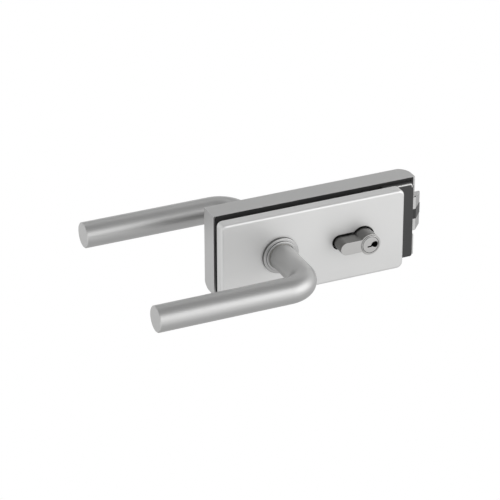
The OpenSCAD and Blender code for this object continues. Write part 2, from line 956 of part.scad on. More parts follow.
module latch_head() {
    color(satin_light)
        difference() {
            intersection() {
                along_y(latch_y0 - over, latch_y0 + latch_t + over)
                    latch_side_2d();
                translate([0, 0, latch_z0 - over])
                    linear_extrude(latch_z1 - latch_z0 + 2 * over) latch_top_2d();
            }
            block([latch_insert_x0, latch_y0 - over, latch_insert_z0 - fit],
                [latch_tip + over, latch_y0 + latch_t + over, latch_insert_z1 + fit]);
            block([latch_x0 - over, latch_y0 - over, tail_z0 - slip],
                [latch_step_x + over, latch_y0 + tail_t + 0.1, latch_z1 + over]);
            latch_pin_rod(latch_pin_r + fit, latch_z0 - over, latch_top + over);
            for (x = rivet_x)
                rod_y(rivet_r + fit, latch_y0, latch_y0 + latch_t + over, x, rivet_z);
        }
}

module latch_insert() {
    color(black)
        difference() {
            translate([0, 0, latch_insert_z0])
                linear_extrude(latch_insert_z1 - latch_insert_z0)
                    intersection() {
                        latch_top_2d(latch_insert_proud);
                        translate([latch_insert_x0 + fit, 0])
                            square([latch_tip - latch_insert_x0 + over, casing_back]);
                    }
            latch_pin_rod(latch_pin_r + fit, latch_insert_z0 - over, latch_insert_z1 + over);
        }
}

module latch_pin() {
    color(black)
        latch_pin_rod(latch_pin_r, latch_z0 + latch_pin_sunk, latch_top - latch_pin_sunk);
}

module latch_rivets() {
    color(steel)
        for (x = rivet_x)
            rod_y(rivet_r, latch_y0, latch_y0 + latch_t - 0.2, x, rivet_z);
}

module latch_tail() {
    lug_x1 = -arm_tip_r - lug_gap;
    tail_y1 = latch_y0 + tail_t;
    color(steel)
        difference() {
            union() {
                block([tail_x0, latch_y0, tail_z0], [latch_step_x - 0.2, tail_y1, tail_z1 - 1.4]);
                block([tail_x0, latch_y0, tail_z0], [latch_x0 - slip, tail_y1, tail_z1]);
                block([lug_x1 - lug_t, latch_y0, arm_r - arm_tip_r - 2.5],
                    [lug_x1, mid_y + arm_t / 2, tail_z1]);
                block([spring_lug_x, latch_y0, tail_z0],
                    [spring_lug_x + post_t, mid_y + spring_r, spring_z + spring_r]);
            }
            for (x = rivet_x)
                rod_y(rivet_r + fit, latch_y0 - over, tail_y1 + over, x, rivet_z);
        }
}

module deadbolt() {
    tail_y0 = bolt_tail_y1 - bolt_tail_t;
    color(satin_light) {
        block([bolt_x0, bolt_y0, bolt_z0], [bolt_x1, bolt_y0 + bolt_t, bolt_z1]);
        block([bolt_tail_x0, tail_y0, bolt_tail_z0], [bolt_x0 + bolt_lap, bolt_tail_y1, bolt_tail_z1]);
        block([bolt_tail_x0, tail_y0, bolt_tail_z0], [notch_x0, bolt_tail_y1, horn_z1]);
        block([notch_x1, tail_y0, bolt_tail_z0], [horn_x1, bolt_tail_y1, horn_z1]);
    }
}

// Places of the pins along Y, counted from the face of each half
function pin_y(face, dir) = [for (i = [0:pin_count - 1]) face + dir * (pin_first + i * pin_pitch)];
front_pins = pin_y(cyl_y0, 1);
rear_pins = pin_y(cyl_y1, -1);

module cylinder_housing() {
    color(satin_light)
        difference() {
            along_y(cyl_y0, cyl_y1)
                profile_2d();
            rod_y(plug_r + fit, cyl_y0 - over, cyl_y1 + over, cylinder_x);
            rod_y(plug_lip_r + 0.1, cyl_y0 - over, cyl_y0 + plug_lip_t - plug_proud + 0.1,
                cylinder_x);
            rod_y(plug_lip_r + 0.1, cyl_y1 - plug_lip_t + plug_proud - 0.1, cyl_y1 + over,
                cylinder_x);
            block([cylinder_x - cam_nose_r - 1, mid_y - cam_gap, -profile_r - over],
                [cylinder_x + profile_r + over, mid_y + cam_gap, profile_r + over]);
            for (y = concat(front_pins, rear_pins))
                rod_x(pin_bore_r, cylinder_x - plug_r - driver_l - pin_spring_l - 0.3,
                    cylinder_x - plug_r + 0.5, y);
            translate([cylinder_screw_x, mid_y, -web_t / 2 - over])
                cylinder(r = cylinder_screw_r + fit, h = web_t + over - 0.5);
        }
}

module cylinder_screw() {
    color(steel)
        difference() {
            union() {
                translate([cylinder_screw_x, mid_y, -case_z + 0.1])
                    cylinder(r = cylinder_screw_r, h = case_z + web_t / 2 - 1);
                translate([cylinder_screw_x, mid_y, -case_z + 0.1])
                    cylinder(r = cylinder_head_r, h = cylinder_head_t - 0.2);
            }
            translate([cylinder_screw_x, mid_y, -case_z - over])
                cylinder(r = 1.5, h = over + 1.4, $fn = 6);
        }
}

// One plug with its lip at face, reaching inwards along dir to inner
module plug(face, dir, inner, pins) {
    lip = face - dir * plug_proud;
    y0 = min(lip, inner);
    y1 = max(lip, inner);
    clip = inner - dir * (0.15 + clip_t);
    difference() {
        union() {
            rod_y(plug_r, y0, y1, cylinder_x);
            rod_y(plug_lip_r, min(lip, lip + dir * plug_lip_t), max(lip, lip + dir * plug_lip_t),
                cylinder_x);
        }
        key_y0 = dir > 0 ? lip - over : inner + 3;
        key_y1 = dir > 0 ? inner - 3 : lip + over;
        block([cylinder_x - 4.6, key_y0, -keyway_w / 2], [cylinder_x + 3.4, key_y1, keyway_w / 2]);
        rod_y(keyway_mouth_r, min(lip - dir * over, lip + dir * 1.3),
            max(lip - dir * over, lip + dir * 1.3), cylinder_x + 3.2);
        for (y = pins)
            rod_x(pin_bore_r, cylinder_x - plug_r - over, cylinder_x - plug_r + key_pin_l + 0.5, y);
        difference() {
            rod_y(plug_r + over, min(clip, clip + dir * clip_t), max(clip, clip + dir * clip_t),
                cylinder_x);
            rod_y(plug_r - 0.5, y0 - over, y1 + over, cylinder_x);
        }
    }
}

module front_plug() {
    color(satin)
        plug(cyl_y0, 1, front_plug_in, front_pins);
}

module rear_plug() {
    color(satin)
        plug(cyl_y1, -1, rear_plug_in, rear_pins);
}

module plug_clip(y0) {
    translate([cylinder_x, 0, 0])
        ring_plate(y0, plug_r - 0.45, plug_lip_r, clip_t - 0.1, 4);
}

module front_plug_ring() {
    color(steel)
        plug_clip(front_plug_in - 0.1 - clip_t);
}

module rear_plug_ring() {
    color(steel)
        plug_clip(rear_plug_in + 0.2);
}

module key_pins(list) {
    for (y = list)
        rod_x(pin_r, cylinder_x - plug_r + slip, cylinder_x - plug_r + key_pin_l + 0.45, y);
}

module front_key_pins() {
    color(brass)
        key_pins(front_pins);
}

module rear_key_pins() {
    color(brass)
        key_pins(rear_pins);
}

module driver_pins() {
    color(brass)
        for (y = concat(front_pins, rear_pins))
            rod_x(pin_r, cylinder_x - plug_r - 0.1 - driver_l, cylinder_x - plug_r - 0.1, y);
}

module pin_springs() {
    x1 = cylinder_x - plug_r - 0.15 - driver_l;
    color(steel)
        for (y = concat(front_pins, rear_pins))
            difference() {
                rod_x(pin_r - 0.1, x1 - pin_spring_l, x1, y);
                rod_x(pin_r - 0.6, x1 - pin_spring_l - over, x1 + over, y);
            }
}

module cam() {
    color(steel)
        along_y(mid_y - cam_t / 2, mid_y + cam_t / 2) {
            translate([cylinder_x, 0])
                circle(cam_r);
            translate([cylinder_x - cam_nose_r + cam_nose_w / 2, -cam_nose_w / 2])
                square([cam_nose_r - cam_nose_w / 2, cam_nose_w]);
            translate([cylinder_x - cam_nose_r + cam_nose_w / 2, 0])
                circle(cam_nose_w / 2);
        }
}

front_cover();
counter_plate();
front_seal();
rear_seal();
rear_casing();
lock_case();
case_lid();
nose_plate();
forend_plate();
front_rose();
rear_rose();
front_bush();
rear_bush();
clamp_screws();
glass_sleeves();
cover_screws();
casing_screws();
lid_screws();
forend_screws();
cylinder_housing();
cylinder_screw();
driver_pins();
pin_springs();
front_lever();
rear_lever();
spindle();
follower();
front_lever_screw();
rear_lever_screw();
front_retaining_ring();
rear_retaining_ring();
follower_spring();
latch_head();
latch_insert();
latch_pin();
latch_tail();
latch_rivets();
latch_spring();
deadbolt();
front_plug();
front_key_pins();
front_plug_ring();
cam();
rear_plug();
rear_key_pins();
rear_plug_ring();
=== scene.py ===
"""Dresses the glass door lever lockset and sets the studio that shows it.

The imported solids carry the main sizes. Each finish below makes one metal, paint, rubber or nylon.
Each class below makes one piece that is finer than its solid, such as a turned rose or a plug with
its keyway, or one part of the studio: the camera, a lamp, a card or the floor.
"""

import logging
import math
from dataclasses import dataclass, field
from enum import Enum
from typing import Callable, Sequence

import bmesh
import bpy
from mathutils import Matrix, Vector


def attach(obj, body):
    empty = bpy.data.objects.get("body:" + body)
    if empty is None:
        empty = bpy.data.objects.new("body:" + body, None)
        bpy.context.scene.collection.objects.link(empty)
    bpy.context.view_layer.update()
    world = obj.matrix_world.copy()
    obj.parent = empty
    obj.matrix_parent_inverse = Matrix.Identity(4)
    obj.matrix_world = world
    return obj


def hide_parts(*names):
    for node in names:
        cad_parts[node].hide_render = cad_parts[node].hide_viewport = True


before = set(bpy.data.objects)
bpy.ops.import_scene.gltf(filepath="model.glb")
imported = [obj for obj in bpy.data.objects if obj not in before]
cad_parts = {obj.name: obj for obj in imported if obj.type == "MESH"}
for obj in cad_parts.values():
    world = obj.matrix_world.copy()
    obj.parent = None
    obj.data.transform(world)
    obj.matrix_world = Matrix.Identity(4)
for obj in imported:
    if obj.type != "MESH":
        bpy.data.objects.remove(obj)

logging.basicConfig(level=logging.INFO, format="%(message)s")
log = logging.getLogger("lockset")

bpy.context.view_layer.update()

# Lengths in metres: one millimetre, and how close two vertices are when they are merged.
MM = 0.001
NEW_MERGE = 1e-7
SOLID_MERGE = 1e-6
# Angles in degrees, above which an edge stays crisp.
TURNED_SMOOTH = 40.0
MACHINED_SMOOTH = 35.0
# How far a face has to look one way, from 0 to 1, to count as an end face or as a bevel.
END_FACE_MIN = 0.9
BEVEL_MIN = 0.2
# The material slot of a plug's faces with painted shade: its keyway and its groove.
SHADE_SLOT = 1
ROUNDING_SEGMENTS = 4
BEVEL_SAMPLES = 6
WHITE = (1.0, 1.0, 1.0, 1.0)
ACROSS_DOOR = (0.0, 1.0, 0.0)

Vec3 = tuple[float, float, float]


class Side(Enum):
    """The two sides of the door, as the sign of the way that each one faces along Y."""

    FRONT = -1.0
    REAR = 1.0


class Grain(Enum):
    """How a surface was finished, as stretch factors for its grain along X, Y and Z."""

    BLASTED = (1.0, 1.0, 1.0)
    BRUSHED_X = (0.03, 1.0, 1.0)
    BRUSHED_Z = (1.0, 1.0, 0.03)
    TURNED = (1.0, 0.08, 1.0)


def new_group(name: str, inputs: Sequence[tuple[str, str, object]],
              outputs: Sequence[tuple[str, str]]) -> bpy.types.ShaderNodeTree:
    """Starts a shader group with its sockets.

    Args:
        name: name of the group.
        inputs: name, socket type and default of each input.
        outputs: name and socket type of each output.

    Returns:
        The empty group, with its input and output nodes in place.
    """
    tree = bpy.data.node_groups.new(name, "ShaderNodeTree")
    for label, kind, default in inputs:
        socket = tree.interface.new_socket(label, in_out="INPUT", socket_type=kind)
        socket.default_value = default
    for label, kind in outputs:
        tree.interface.new_socket(label, in_out="OUTPUT", socket_type=kind)
    tree.nodes.new("NodeGroupInput")
    tree.nodes.new("NodeGroupOutput")
    return tree


def group_ends(tree: bpy.types.ShaderNodeTree) -> tuple[bpy.types.Node, bpy.types.Node]:
    """Finds a group's input and output nodes.

    Args:
        tree: the group.

    Returns:
        The input node and the output node.
    """
    ends = {node.bl_idname: node for node in tree.nodes}
    return ends["NodeGroupInput"], ends["NodeGroupOutput"]


def feed(tree: bpy.types.NodeTree, value: object, socket: bpy.types.NodeSocket) -> None:
    """Links a socket, or sets its number.

    Args:
        tree: the node tree.
        value: a number, or the socket to link.
        socket: the input that it feeds.
    """
    if isinstance(value, bpy.types.NodeSocket):
        tree.links.new(value, socket)
    else:
        socket.default_value = value


def math_node(tree: bpy.types.NodeTree, operation: str, a: object, b: object = 0.0,
              clamp: bool = False) -> bpy.types.NodeSocket:
    """Adds one Math node.

    Args:
        tree: node tree to add it to.
        operation: the operation's name.
        a: first value, a number or a socket.
        b: second value, a number or a socket.
        clamp: whether the result stays between 0 and 1.

    Returns:
        The result's socket.
    """
    node = tree.nodes.new("ShaderNodeMath")
    node.operation = operation
    node.use_clamp = clamp
    for socket, value in zip(node.inputs, (a, b)):
        feed(tree, value, socket)
    return node.outputs[0]


def noise_node(tree: bpy.types.NodeTree, vector: bpy.types.NodeSocket, scale: object,
               detail: float, roughness: float = 0.5,
               distortion: float = 0.0) -> bpy.types.NodeSocket:
    """Adds one Noise Texture node.

    Args:
        tree: node tree to add it to.
        vector: the coordinates that it reads.
        scale: its scale, a number or a socket.
        detail: how many finer layers it has.
        roughness: how strong the finer layers are.
        distortion: how much its clouds are bent.

    Returns:
        The noise's socket.
    """
    node = tree.nodes.new("ShaderNodeTexNoise")
    for label, value in (("Vector", vector), ("Scale", scale), ("Detail", detail),
                         ("Roughness", roughness), ("Distortion", distortion)):
        feed(tree, value, node.inputs[label])
    return node.outputs[0]


def soft_step(tree: bpy.types.NodeTree, value: bpy.types.NodeSocket, start: float, end: float,
              top: float = 1.0) -> bpy.types.NodeSocket:
    """Adds a smooth step from 0 up to a top value.

    Args:
        tree: node tree to add it to.
        value: the value that it reads.
        start: where the step leaves 0.
        end: where it reaches the top.
        top: the top value.

    Returns:
        The step's socket.
    """
    node = tree.nodes.new("ShaderNodeMapRange")
    node.interpolation_type = "SMOOTHSTEP"
    for label, limit in (("From Min", start), ("From Max", end), ("To Min", 0.0), ("To Max", top)):
        node.inputs[label].default_value = limit
    tree.links.new(value, node.inputs["Value"])
    return node.outputs["Result"]


def build_surface_grain() -> bpy.types.ShaderNodeTree:
    """Makes the group for the fine grain of blasted, brushed and turned metal.

    Returns:
        A group that gives a height, a roughness offset and a tone mask.
    """
    tree = new_group(
        "Surface Grain",
        (("Vector", "NodeSocketVector", (0.0, 0.0, 0.0)),
         ("Size", "NodeSocketFloat", 900.0),
         ("Cloud Size", "NodeSocketFloat", 30.0),
         ("Rough Swing", "NodeSocketFloat", 0.05)),
        (("Height", "NodeSocketFloat"), ("Rough Offset", "NodeSocketFloat"),
         ("Tone", "NodeSocketFloat")),
    )
    start, end = group_ends(tree)
    vector = start.outputs["Vector"]
    fine = noise_node(tree, vector, start.outputs["Size"], detail=3.0, roughness=0.6)
    cloud = noise_node(tree, vector, start.outputs["Cloud Size"], detail=2.0)
    middle = 0.5
    mixed = math_node(tree, "ADD", math_node(tree, "SUBTRACT", fine, middle),
                      math_node(tree, "SUBTRACT", cloud, middle))
    tree.links.new(fine, end.inputs["Height"])
    tree.links.new(math_node(tree, "MULTIPLY", mixed, start.outputs["Rough Swing"]),
                   end.inputs["Rough Offset"])
    tree.links.new(cloud, end.inputs["Tone"])
    return tree


def build_handling_marks() -> bpy.types.ShaderNodeTree:
    """Makes the group for the faint smudges that hands and cloths leave.

    Returns:
        A group that gives a mask of the marks.
    """
    tree = new_group(
        "Handling Marks",
        (("Vector", "NodeSocketVector", (0.0, 0.0, 0.0)),
         ("Size", "NodeSocketFloat", 45.0),
         ("Amount", "NodeSocketFloat", 0.3)),
        (("Mask", "NodeSocketFloat"),),
    )
    start, end = group_ends(tree)
    smudges = noise_node(tree, start.outputs["Vector"], start.outputs["Size"], detail=5.0,
                         distortion=0.6)
    shown = soft_step(tree, smudges, start=0.48, end=0.72)
    tree.links.new(math_node(tree, "MULTIPLY", shown, start.outputs["Amount"]),
                   end.inputs["Mask"])
    return tree


def build_edge_wear() -> bpy.types.ShaderNodeTree:
    """Makes the group that rounds the light on sharp edges and finds where they are worn.

    Returns:
        A group that gives a normal and a mask of the worn edges.
    """
    tree = new_group(
        "Edge Wear",
        (("Vector", "NodeSocketVector", (0.0, 0.0, 0.0)),
         ("Radius", "NodeSocketFloat", 0.35 * MM),
         ("Amount", "NodeSocketFloat", 0.5)),
        (("Normal", "NodeSocketVector"), ("Mask", "NodeSocketFloat")),
    )
    start, end = group_ends(tree)
    rounded = tree.nodes.new("ShaderNodeBevel")
    rounded.samples = BEVEL_SAMPLES
    tree.links.new(start.outputs["Radius"], rounded.inputs["Radius"])
    surface = tree.nodes.new("ShaderNodeNewGeometry")
    turn = tree.nodes.new("ShaderNodeVectorMath")
    turn.operation = "DOT_PRODUCT"
    tree.links.new(rounded.outputs[0], turn.inputs[0])
    tree.links.new(surface.outputs["Normal"], turn.inputs[1])
    edge = soft_step(tree, turn.outputs["Value"], start=0.995, end=0.90)
    breaks = noise_node(tree, start.outputs["Vector"], scale=350.0, detail=3.0)
    uneven = math_node(tree, "MULTIPLY", edge, breaks)
    tree.links.new(math_node(tree, "MULTIPLY", uneven, start.outputs["Amount"], clamp=True),
                   end.inputs["Mask"])
    tree.links.new(rounded.outputs[0], end.inputs["Normal"])
    return tree


class Effects:
    """The shared shader groups, each built once."""

    def __init__(self) -> None:
        """Builds the groups."""
        self.grain = build_surface_grain()
        self.marks = build_handling_marks()
        self.wear = build_edge_wear()


@dataclass(frozen=True)
class Finish:
    """One finish of the lockset, with its colour, gloss and grain. Lengths are in metres."""

    name: str
    color: tuple[float, float, float]
    metallic: float = 1.0
    roughness: float = 0.4
    grain: Grain = Grain.BLASTED
    grain_size: float = 900.0
    bump: float = 0.05
    bump_depth: float = 0.00002
    tone_swing: float = 0.03
    rough_swing: float = 0.05
    marks: float = 0.15
    smudge_rough: float = 0.12
    specular: float = 0.5
    edge_radius: float = 0.00035
    edge_wear: float = 0.6
    edge_light: float = 0.35
    edge_lift: float = 0.007
    polish: float = 0.08

    def build(self, effects: Effects) -> bpy.types.Material:
        """Makes the material.

        Args:
            effects: the shared shader groups.

        Returns:
            The finished material.
        """
        material = bpy.data.materials.new(self.name)
        material.use_nodes = True
        tree = material.node_tree
        shader = tree.nodes["Principled BSDF"]
        shader.inputs["Metallic"].default_value = self.metallic
        shader.inputs["Specular IOR Level"].default_value = self.specular
        place = tree.nodes.new("ShaderNodeTexCoord")
        stretch = tree.nodes.new("ShaderNodeMapping")
        stretch.inputs["Scale"].default_value = self.grain.value
        tree.links.new(place.outputs["Object"], stretch.inputs["Vector"])
        grain = self._place(tree, effects.grain, stretch.outputs[0],
                            {"Size": self.grain_size, "Rough Swing": self.rough_swing})
        marks = self._place(tree, effects.marks, place.outputs["Object"],
                            {"Amount": self.marks})
        wear = self._place(tree, effects.wear, place.outputs["Object"],
                           {"Radius": self.edge_radius, "Amount": self.edge_wear})
        self._link_colour(tree, shader, grain, wear)
        smudged = math_node(tree, "MULTIPLY", marks.outputs["Mask"], self.smudge_rough)
        polished = math_node(tree, "MULTIPLY", wear.outputs["Mask"], self.polish)
        rough = math_node(tree, "ADD", grain.outputs["Rough Offset"], self.roughness)
        rough = math_node(tree, "ADD", rough, smudged)
        tree.links.new(math_node(tree, "SUBTRACT", rough, polished, clamp=True),
                       shader.inputs["Roughness"])
        bump = tree.nodes.new("ShaderNodeBump")
        bump.inputs["Strength"].default_value = self.bump
        bump.inputs["Distance"].default_value = self.bump_depth
        tree.links.new(grain.outputs["Height"], bump.inputs["Height"])
        tree.links.new(wear.outputs["Normal"], bump.inputs["Normal"])
        tree.links.new(bump.outputs[0], shader.inputs["Normal"])
        return material

    @staticmethod
    def _place(tree: bpy.types.NodeTree, group: bpy.types.NodeTree,
               vector: bpy.types.NodeSocket, values: dict[str, float]) -> bpy.types.Node:
        """Places a shared group with this finish's own values.

        Args:
            tree: the material's node tree.
            group: the shared group.
            vector: the coordinates that it reads.
            values: its values by input name.

        Returns:
            The placed group.
        """
        node = tree.nodes.new("ShaderNodeGroup")
        node.node_tree = group
        for label, value in values.items():
            node.inputs[label].default_value = value
        tree.links.new(vector, node.inputs["Vector"])
        return node

    def _link_colour(self, tree: bpy.types.NodeTree, shader: bpy.types.Node,
                     grain: bpy.types.Node, wear: bpy.types.Node) -> None:
        """Gives the colour its slight cloudiness and its lighter worn edges.

        Args:
            tree: the material's node tree.
            shader: its shader.
            grain: the placed grain group.
            wear: the placed edge wear group.
        """
        clouds = tree.nodes.new("ShaderNodeMix")
        clouds.data_type = "RGBA"
        dark = [c * (1.0 - self.tone_swing) for c in self.color]
        light = [min(1.0, c * (1.0 + self.tone_swing)) for c in self.color]
        clouds.inputs["A"].default_value = (*dark, 1.0)
        clouds.inputs["B"].default_value = (*light, 1.0)
        tree.links.new(grain.outputs["Tone"], clouds.inputs["Factor"])
        worn = tree.nodes.new("ShaderNodeMix")
        worn.data_type = "RGBA"
        bare = [min(1.0, c * (1.0 + self.edge_light) + self.edge_lift) for c in self.color]
        worn.inputs["B"].default_value = (*bare, 1.0)
        tree.links.new(wear.outputs["Mask"], worn.inputs["Factor"])
        tree.links.new(clouds.outputs["Result"], worn.inputs["A"])
        tree.links.new(worn.outputs["Result"], shader.inputs["Base Color"])


SATIN_COVER = Finish("satin cover", (0.725, 0.725, 0.72), metallic=0.76, roughness=0.48)
SATIN_CASING = Finish("satin casing", (0.56, 0.56, 0.557), metallic=0.85, roughness=0.46)
SATIN_LEVER = Finish("satin lever", (0.475, 0.475, 0.472), roughness=0.43)
MACHINED_FACE = Finish("machined face", (0.50, 0.497, 0.49), roughness=0.34,
                       grain=Grain.BRUSHED_X)
# A darker copy of the lever metal that paints shade on the roses' flanks.
ROSE_FLANK_SHADE = Finish("rose flank painted shade", (0.15, 0.15, 0.148), roughness=0.42, grain=Grain.TURNED)
# A darker copy of the nickel that paints shade on the cylinder housing's sides.
SHADED_NICKEL = Finish("satin nickel painted shade", (0.17, 0.168, 0.164), roughness=0.34,
                      grain=Grain.BRUSHED_Z)
BOLT_METAL = Finish("bolt metal", (0.62, 0.62, 0.615), metallic=0.75, roughness=0.40,
                    grain=Grain.BRUSHED_X)
# A darker copy of the bolt metal that paints shade on the latch's bevels.
SHADED_BEVEL_METAL = Finish("bevel metal painted shade", (0.40, 0.40, 0.397), roughness=0.34,
                     grain=Grain.BRUSHED_Z)
ZINC_STEEL = Finish("zinc plated steel", (0.50, 0.50, 0.50), roughness=0.38, grain_size=500.0)
SPRING_WIRE = Finish("spring wire", (0.42, 0.42, 0.42), roughness=0.3)
BRASS = Finish("turned brass", (0.60, 0.50, 0.30), roughness=0.3, grain=Grain.TURNED)
BLACK_PAINT = Finish("black paint", (0.045, 0.045, 0.045), metallic=0.0, roughness=0.5,
                     grain_size=1400.0, bump=0.2, tone_swing=0.1, marks=0.3)
BLACK_PLASTIC = Finish("black plastic", (0.030, 0.030, 0.030), metallic=0.0, roughness=0.45,
                       grain_size=700.0, bump=0.15, tone_swing=0.1)
RUBBER = Finish("black rubber", (0.040, 0.040, 0.040), metallic=0.0, roughness=0.75,
                grain_size=400.0, bump=0.3, tone_swing=0.15, specular=0.3)
TRIM_METAL = Finish("trim metal", (0.50, 0.50, 0.495), roughness=0.34, grain=Grain.BRUSHED_X)
KEYWAY_SHADE = Finish("keyway shade", (0.012, 0.012, 0.012), metallic=0.0, roughness=0.6,
                      specular=0.2, tone_swing=0.2, marks=0.0, edge_wear=0.0)
NYLON = Finish("natural nylon", (0.72, 0.70, 0.63), metallic=0.0, roughness=0.5,
               grain_size=300.0, bump=0.1)


def mesh_object(name: str, bm: bmesh.types.BMesh) -> bpy.types.Object:
    """Turns a finished bmesh into an object at the origin.

    Args:
        name: the piece's name.
        bm: its mesh, which is freed.

    Returns:
        The new object.
    """
    mesh = bpy.data.meshes.new(name)
    bm.to_mesh(mesh)
    bm.free()
    piece = bpy.data.objects.new(name, mesh)
    bpy.context.scene.collection.objects.link(piece)
    return piece


def shade_by_angle(piece: bpy.types.Object, degrees: float) -> None:
    """Shades a piece smooth, and keeps the edges sharper than an angle crisp.

    Args:
        piece: the piece.
        degrees: the angle.
    """
    limit = math.radians(degrees)
    bm = bmesh.new()
    bm.from_mesh(piece.data)
    for face in bm.faces:
        face.smooth = True
    for edge in bm.edges:
        edge.smooth = len(edge.link_faces) == 2 and edge.calc_face_angle(0.0) < limit
    bm.to_mesh(piece.data)
    bm.free()


def give(piece: bpy.types.Object, *materials: bpy.types.Material) -> None:
    """Gives a piece its materials, in the order of its material slots.

    Args:
        piece: the piece.
        materials: its materials.
    """
    if piece.data.materials:
        piece.data.materials.clear()
    for material in materials:
        piece.data.materials.append(material)


@dataclass(frozen=True)
class Corner:
    """One corner of a turned piece's section, in millimetres."""

    radius: float
    height: float
    rounding: float = 0.0


def section_loop(bm: bmesh.types.BMesh, corners: Sequence[Corner], closed: bool) -> None:
    """Draws a turned piece's section in the plane Z = 0, its corners rounded.

    Args:
        bm: the mesh to draw in.
        corners: the corners in order, their height along Y.
        closed: whether the last corner joins the first.
    """
    points = [bm.verts.new((c.radius * MM, c.height * MM, 0.0)) for c in corners]
    pairs = list(zip(points, points[1:]))
    if closed:
        pairs.append((points[-1], points[0]))
    for a, b in pairs:
        bm.edges.new((a, b))
    for corner, point in zip(corners, points):
        if corner.rounding > 0.0:
            bmesh.ops.bevel(bm, geom=[point], offset=corner.rounding * MM, offset_type="OFFSET",
                            segments=ROUNDING_SEGMENTS, profile=0.5, affect="VERTICES",
                            material=-1)


def turn_section(bm: bmesh.types.BMesh, steps: int) -> None:
    """Turns a section a full circle about the Y axis.

    Args:
        bm: the mesh that holds the section.
        steps: how many steps the circle has.
    """
    bmesh.ops.spin(bm, geom=bm.verts[:] + bm.edges[:], cent=(0.0, 0.0, 0.0),
                   axis=ACROSS_DOOR, dvec=(0.0, 0.0, 0.0), angle=math.tau, steps=steps,
                   use_merge=True, use_duplicate=False)
    bmesh.ops.remove_doubles(bm, verts=bm.verts[:], dist=NEW_MERGE)


def stand_at(bm: bmesh.types.BMesh, x: float, y: float, side: Side) -> None:
    """Moves a piece that faces +Y to its place, and turns it to its side of the door.

    Args:
        bm: the piece's mesh.
        x: where its axis is along the door, in metres.
        y: where its foot stands across the door, in metres.
        side: the side that it faces.
    """
    bmesh.ops.scale(bm, verts=bm.verts[:], vec=(1.0, side.value, 1.0))
    bmesh.ops.translate(bm, verts=bm.verts[:], vec=(x, y, 0.0))
    bmesh.ops.recalc_face_normals(bm, faces=bm.faces[:])


def draw_out(bm: bmesh.types.BMesh, edges: list[bmesh.types.BMEdge],
             way: Vec3) -> tuple[list[bmesh.types.BMVert], list[bmesh.types.BMEdge]]:
    """Draws a ring of edges out into a straight length.

    Args:
        bm: the mesh.
        edges: the ring.
        way: how far and which way it goes.

    Returns:
        The vertices and the edges of the ring at the far end.
    """
    grown = bmesh.ops.extrude_edge_only(bm, edges=edges)["geom"]
    verts = [g for g in grown if isinstance(g, bmesh.types.BMVert)]
    bmesh.ops.translate(bm, verts=verts, vec=way)
    ring = [g for g in grown if isinstance(g, bmesh.types.BMEdge)
            and all(v in verts for v in g.verts)]
    return verts, ring


def aimed(place: Vec3, aim: Vec3) -> Matrix:
    """Works out how something stands at one point and faces another.

    Args:
        place: the point where it stands.
        aim: the point that it faces.

    Returns:
        Its matrix.
    """
    look = Vector(aim) - Vector(place)
    return Matrix.Translation(place) @ look.to_track_quat("-Z", "Y").to_matrix().to_4x4()


@dataclass(frozen=True)
class Viewpoint:
    """The camera, at the photograph's place and angle."""

    place: Vec3 = (-0.7303, -1.5937, 0.9030)
    azimuth: float = 24.050
    down: float = 27.307
    roll: float = -0.110
    focal_px: float = 2611.0
    frame_px: float = 500.0
    sensor: float = 36.0
    reach: float = 50.0

    def build(self) -> bpy.types.Object:
        """Makes the camera and looks through it.

        Returns:
            The camera.
        """
        a, e, r = (math.radians(v) for v in (self.azimuth, self.down, self.roll))
        ahead = Vector((math.sin(a) * math.cos(e), math.cos(a) * math.cos(e), -math.sin(e)))
        level = Vector((math.cos(a), -math.sin(a), 0.0))
        upright = level.cross(ahead)
        right = level * math.cos(r) + upright * math.sin(r)
        up = right.cross(ahead)
        data = bpy.data.cameras.new("camera")
        data.sensor_width = self.sensor
        data.lens = self.focal_px / self.frame_px * self.sensor
        data.clip_end = self.reach
        camera = bpy.data.objects.new("camera", data)
        turn = Matrix((right, up, -ahead)).transposed().to_4x4()
        camera.matrix_world = Matrix.Translation(self.place) @ turn
        bpy.context.scene.collection.objects.link(camera)
        bpy.context.scene.camera = camera
        return camera


@dataclass(frozen=True)
class SoftBox:
    """A rectangular soft light."""

    name: str
    place: Vec3
    aim: Vec3
    width: float
    height: float
    level: float

    def build(self) -> bpy.types.Object:
        """Hangs the light.

        Returns:
            The light.
        """
        data = bpy.data.lights.new(self.name, "AREA")
        data.shape = "RECTANGLE"
        data.size = self.width
        data.size_y = self.height
        data.energy = self.level * math.pi * self.width * self.height
        light = bpy.data.objects.new(self.name, data)
        light.matrix_world = aimed(self.place, self.aim)
        bpy.context.scene.collection.objects.link(light)
        return light


@dataclass(frozen=True)
class Card:
    """A grey card beside the set, out of the camera's sight, that tones down reflections."""

    name: str
    place: Vec3
    aim: Vec3
    width: float
    height: float
    level: float

    def build(self) -> bpy.types.Object:
        """Stands the card up.

        Returns:
            The card.
        """
        bm = bmesh.new()
        bmesh.ops.create_grid(bm, x_segments=1, y_segments=1, size=0.5)
        size = Matrix.Diagonal((self.width, self.height, 1.0, 1.0))
        bmesh.ops.transform(bm, verts=bm.verts, matrix=aimed(self.place, self.aim) @ size)
        card = mesh_object(self.name, bm)
        material = bpy.data.materials.new(self.name)
        material.use_nodes = True
        tree = material.node_tree
        tree.nodes.clear()
        glow = tree.nodes.new("ShaderNodeEmission")
        glow.inputs["Color"].default_value = WHITE
        glow.inputs["Strength"].default_value = self.level
        out = tree.nodes.new("ShaderNodeOutputMaterial")
        tree.links.new(glow.outputs[0], out.inputs["Surface"])
        give(card, material)
        card.visible_camera = False
        card.visible_diffuse = False
        card.visible_shadow = False
        return card


@dataclass(frozen=True)
class FloorFade:
    """A part of the floor that reflections show brighter, reached by a soft fade."""

    axis: str
    start: float
    end: float
    gain: float

    def build(self, tree: bpy.types.NodeTree, place: bpy.types.Node) -> bpy.types.NodeSocket:
        """Adds the fade to the floor's material.

        Args:
            tree: the material's node tree.
            place: the node that splits the place on the floor into X, Y and Z.

        Returns:
            How much brighter each place is.
        """
        return soft_step(tree, place.outputs[self.axis], self.start, self.end, self.gain)


